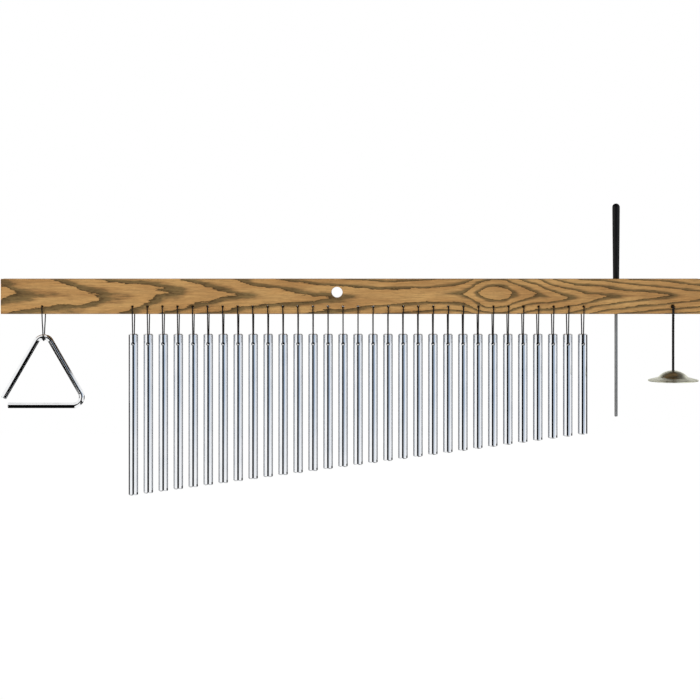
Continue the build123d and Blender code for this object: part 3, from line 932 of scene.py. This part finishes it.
@dataclass(frozen=True)
class Studio:
    """A white room with a pale floor, soft light, and cards that only polished metal sees.

    Attributes:
        card_radius: Distance of the upright cards from the part in millimetres.
        card_step: Width of one flat of a curved card in degrees.
        floor_level: Height of the floor in millimetres.
        floor_half: Half of the floor's width in millimetres.
        floor_fleck: Size of a fleck in the floor's paper in millimetres.
        floor_glow: Strength of the white that the eye sees of the floor.
        floor_share: Share of that white against the paper, which takes the shadow.
        soft_level: Strength of the even light on the part, where the eye sees 1.
        lamp_watts: Power of the lamp.
        lamp_size: Width and height of the lamp in millimetres.
        lamp_place: Place of the lamp in millimetres.
        camera_place: Place of the camera in millimetres.
        camera_reach: How far the camera sees in millimetres.
        lens: Focal length in millimetres.
        sensor: Width of the sensor in millimetres.
        horizon_row: Row of the picture that lies level with the camera.
        image_rows: Rows of the picture.
    """

    card_radius: float = 2600.0
    card_step: float = 4.0
    floor_level: float = -1100.0
    floor_half: float = 9000.0
    floor_fleck: float = 6.0
    floor_glow: float = 1.05
    floor_share: float = 0.88
    soft_level: float = 0.72
    lamp_watts: float = 24.0
    lamp_size: tuple[float, float] = (1800.0, 1200.0)
    lamp_place: Point = (-900.0, -2000.0, 1300.0)
    camera_place: Point = (12.96, -1876.0, 57.2)
    camera_reach: float = 60000.0
    lens: float = 96.3
    sensor: float = 36.0
    horizon_row: float = 235.0
    image_rows: float = 700.0

    # Arcs of the cards round the part, in degrees from straight behind the camera, towards +X.
    arcs: ClassVar[tuple[tuple[CardTone, float, float], ...]] = (
        (CardTone.GREY, -158.0, -88.0), (CardTone.GREY, 86.0, 158.0), (CardTone.BLACK, -25.0, 17.0),
        (CardTone.PALE, 17.0, 56.0))
    # Left, right, near and far edge and height of the level black cards. Those over the part darken the
    # cymbal's dome. Those under it are strips that darken the inner side of the triangle's right leg, its
    # base and its left leg.
    level_cards: ClassVar[dict[str, tuple[float, ...]]] = {
        "card_over": (-215.0, 430.0, -900.0, 560.0, 330.0),
        "card_over_right": (430.0, 1400.0, -900.0, 1400.0, 950.0),
        "card_under_left": (-1380.0, -1110.0, -2200.0, 1400.0, -600.0),
        "card_under_base": (-600.0, -280.0, -2200.0, 1400.0, -600.0),
        "card_under_right": (80.0, 440.0, -2200.0, 1400.0, -600.0)}
    # Heights between which each tone hangs.
    hangs: ClassVar[dict[CardTone, tuple[float, float]]] = {
        CardTone.GREY: (-1050.0, 0.0), CardTone.BLACK: (-1050.0, 900.0), CardTone.PALE: (-1050.0, 900.0)}

    def build(self) -> None:
        """Set up the world, floor, cards, lamp and camera."""
        bpy.context.scene.view_settings.view_transform = "Standard"
        self.world()
        self.floor()
        tones = {tone: self.card_tone(tone) for tone in CardTone}
        for number, (tone, first, last) in enumerate(self.arcs):
            self.card(f"card_{number}", self.arc_corners(first, last, self.hangs[tone]), tones[tone])
        for name, corners in self.level_cards.items():
            self.card(name, self.level_corners(*corners), tones[CardTone.BLACK])
        self.lamp()
        self.camera()

    def seen(self, tree: bpy.types.NodeTree) -> bpy.types.NodeSocket:
        """Tell the rays that show the background to the eye: straight, mirrored or through glass.

        Args:
            tree: Node tree to build in.

        Returns:
            Socket that is 1 on those rays and 0 on the rest.
        """
        rays = add_node(tree, "LightPath").outputs
        either = add_node(tree, "Math", {0: rays["Is Camera Ray"], 1: rays["Is Glossy Ray"]},
                          operation="MAXIMUM")
        return add_node(tree, "Math", {0: either.outputs[0], 1: rays["Is Transmission Ray"]},
                        operation="MAXIMUM").outputs[0]

    def world(self) -> None:
        """Light the part evenly from all round, and show white behind it."""
        world = bpy.data.worlds.new("white_room")
        bpy.context.scene.world = world
        world.use_nodes = True
        tree = world.node_tree
        strength = add_node(tree, "MapRange", {"Value": self.seen(tree), 3: self.soft_level, 4: 1.0})
        fill(tree, tree.nodes["Background"], {"Color": linear(WHITE), "Strength": strength.outputs[0]})

    def floor(self) -> None:
        """Lay the pale floor, which is nearly white to the eye and still takes a shadow."""
        half = self.floor_half
        floor = self.sheet("floor", self.level_corners(-half, half, -half, half, self.floor_level))
        material, tree, shader = new_surface("matt_white_paper")
        fleck = grain(tree, place_in_mm(tree), (self.floor_fleck,) * 3, 3.0)
        tone = add_node(tree, "ValToRGB", {"Fac": fleck}, stops=((0.3, "#F1F1F0"), (0.7, "#F8F8F7")))
        fill(tree, shader, {"Base Color": tone.outputs["Color"], "Roughness": 0.9})
        glow = add_node(tree, "Emission", {"Color": linear(WHITE), "Strength": self.floor_glow})
        share = add_node(tree, "Math", {0: self.seen(tree), 1: self.floor_share},
                         operation="MULTIPLY").outputs[0]
        mixed = add_node(tree, "MixShader", {0: share, 1: shader.outputs[0], 2: glow.outputs[0]})
        fill(tree, tree.nodes["Material Output"], {"Surface": mixed.outputs[0]})
        floor.data.materials.append(material)

    def arc_corners(self, first: float, last: float, heights: tuple[float, float]) -> list[list[Point]]:
        """Give the corners of an upright curved card.

        Args:
            first: Direction of its first edge in degrees.
            last: Direction of its last edge in degrees.
            heights: Heights of its lower and upper edge in millimetres.

        Returns:
            The lower and the upper row of corners in millimetres.
        """
        steps = max(2, round((last - first) / self.card_step))
        angles = [math.radians(first + (last - first) * step / steps) for step in range(steps + 1)]
        ring = [(self.card_radius * math.sin(a), -self.card_radius * math.cos(a)) for a in angles]
        return [[(x, y, z) for x, y in ring] for z in heights]

    def level_corners(self, left: float, right: float, near: float, far: float,
                      z: float) -> list[list[Point]]:
        """Give the near and the far row of corners of a level card, in millimetres."""
        return [[(left, y, z), (right, y, z)] for y in (near, far)]

    def sheet(self, name: str, rows: list[list[Point]]) -> bpy.types.Object:
        """Make a sheet between two rows of corners.

        Args:
            name: The object's name.
            rows: Two rows of corners of the same count, in millimetres.

        Returns:
            The new object, linked to the scene.
        """
        count = len(rows[0])
        vertices = [tuple(MM * c for c in corner) for row in rows for corner in row]
        faces = [(i, i + 1, count + i + 1, count + i) for i in range(count - 1)]
        mesh = bpy.data.meshes.new(name)
        mesh.from_pydata(vertices, [], faces)
        sheet = bpy.data.objects.new(name, mesh)
        bpy.context.scene.collection.objects.link(sheet)
        return sheet

    def card_tone(self, tone: CardTone) -> bpy.types.Material:
        """Make the even tone of a card, which rises out of white at its foot.

        Args:
            tone: The card's cloth, tone and heights.

        Returns:
            The new material.
        """
        name, colour, white_below, full_above = tone.value
        material, tree, _ = new_surface(name)
        height = add_node(tree, "SeparateXYZ", {0: place_in_mm(tree)}).outputs[2]
        share = add_node(tree, "MapRange", {"Value": height, 1: white_below, 2: full_above}).outputs[0]
        shade = add_node(tree, "Mix", {0: share, 6: linear(WHITE), 7: linear(colour)}, data_type="RGBA")
        glow = add_node(tree, "Emission", {"Color": shade.outputs[2], "Strength": 1.0})
        fill(tree, tree.nodes["Material Output"], {"Surface": glow.outputs[0]})
        return material

    def card(self, name: str, rows: list[list[Point]], tone: bpy.types.Material) -> None:
        """Hang a card that shows only as a reflection and casts no shadow.

        Args:
            name: The card's name.
            rows: Two rows of corners in millimetres.
            tone: Material of the card.
        """
        card = self.sheet(name, rows)
        card.data.materials.append(tone)
        card.visible_camera = False
        card.visible_diffuse = False
        card.visible_transmission = False
        card.visible_volume_scatter = False
        card.visible_shadow = False

    def lamp(self) -> None:
        """Hang one large soft lamp above and left of the camera."""
        light = bpy.data.lights.new("soft_box", "AREA")
        light.shape = "RECTANGLE"
        light.size, light.size_y = (MM * side for side in self.lamp_size)
        light.energy = self.lamp_watts
        lamp = bpy.data.objects.new("soft_box", light)
        bpy.context.scene.collection.objects.link(lamp)
        lamp.location = tuple(MM * c for c in self.lamp_place)
        lamp.rotation_euler = (-lamp.location).to_track_quat("-Z", "Y").to_euler()
        lamp.visible_glossy = False

    def camera(self) -> None:
        """Stand the camera square to the mantle, a little above it, framed low to keep uprights upright."""
        data = bpy.data.cameras.new("camera")
        data.lens = self.lens
        data.sensor_width = self.sensor
        data.shift_y = (self.horizon_row - self.image_rows / 2) / self.image_rows
        data.clip_end = MM * self.camera_reach
        camera = bpy.data.objects.new("camera", data)
        camera.location = tuple(MM * c for c in self.camera_place)
        camera.rotation_euler = (math.radians(90), 0, 0)
        bpy.context.scene.collection.objects.link(camera)
        bpy.context.scene.camera = camera


def main() -> None:
    """Build the studio, dress the solids and hang the cords."""
    logging.basicConfig(level=logging.INFO, format="%(name)s: %(message)s")
    Studio().build()
    RigidPieces().dress()
    CordSet().build(BraidedNylon().material())


if __name__ == "__main__":
    main()
